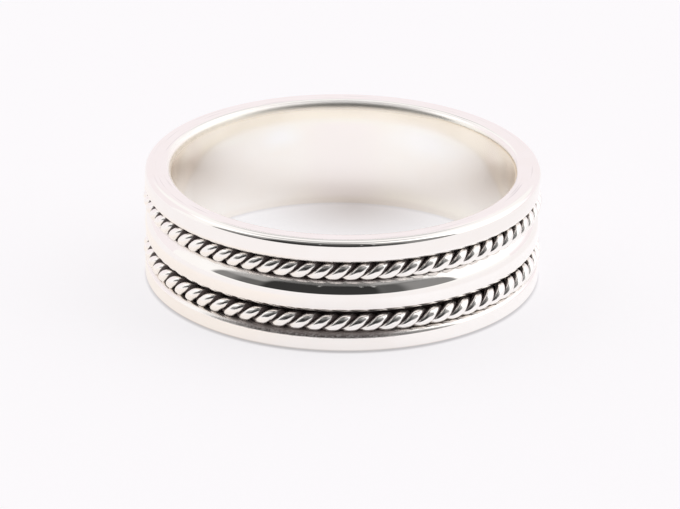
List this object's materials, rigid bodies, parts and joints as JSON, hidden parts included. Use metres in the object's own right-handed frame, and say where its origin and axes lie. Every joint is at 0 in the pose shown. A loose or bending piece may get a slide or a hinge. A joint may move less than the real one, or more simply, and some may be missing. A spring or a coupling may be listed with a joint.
{
  "type": "rope twist band ring",
  "caption": "Polished silver band ring with three raised ribs and a twisted wire rope in each of the two darkened channels between them.",
  "frame": {"origin": "on the ring's axis, in the plane of the lower rim that the ring lies on", "axes": "+Z along the ring's axis, up from the rim that it lies on; -Y towards the front of the pictured view"},
  "size_m": [0.0222, 0.0222, 0.0065],
  "materials": {
    "polished_silver": "mirror-polished sterling silver, brown-black oxide in the sunk channels",
    "rope_silver": "polished on the crests of the twist, brown-black in the valleys"
  },
  "bodies": {
    "root": {"band": "polished_silver", "upper_strand_a": "rope_silver", "upper_strand_b": "rope_silver", "lower_strand_a": "rope_silver", "lower_strand_b": "rope_silver"}
  },
  "joints": []
}
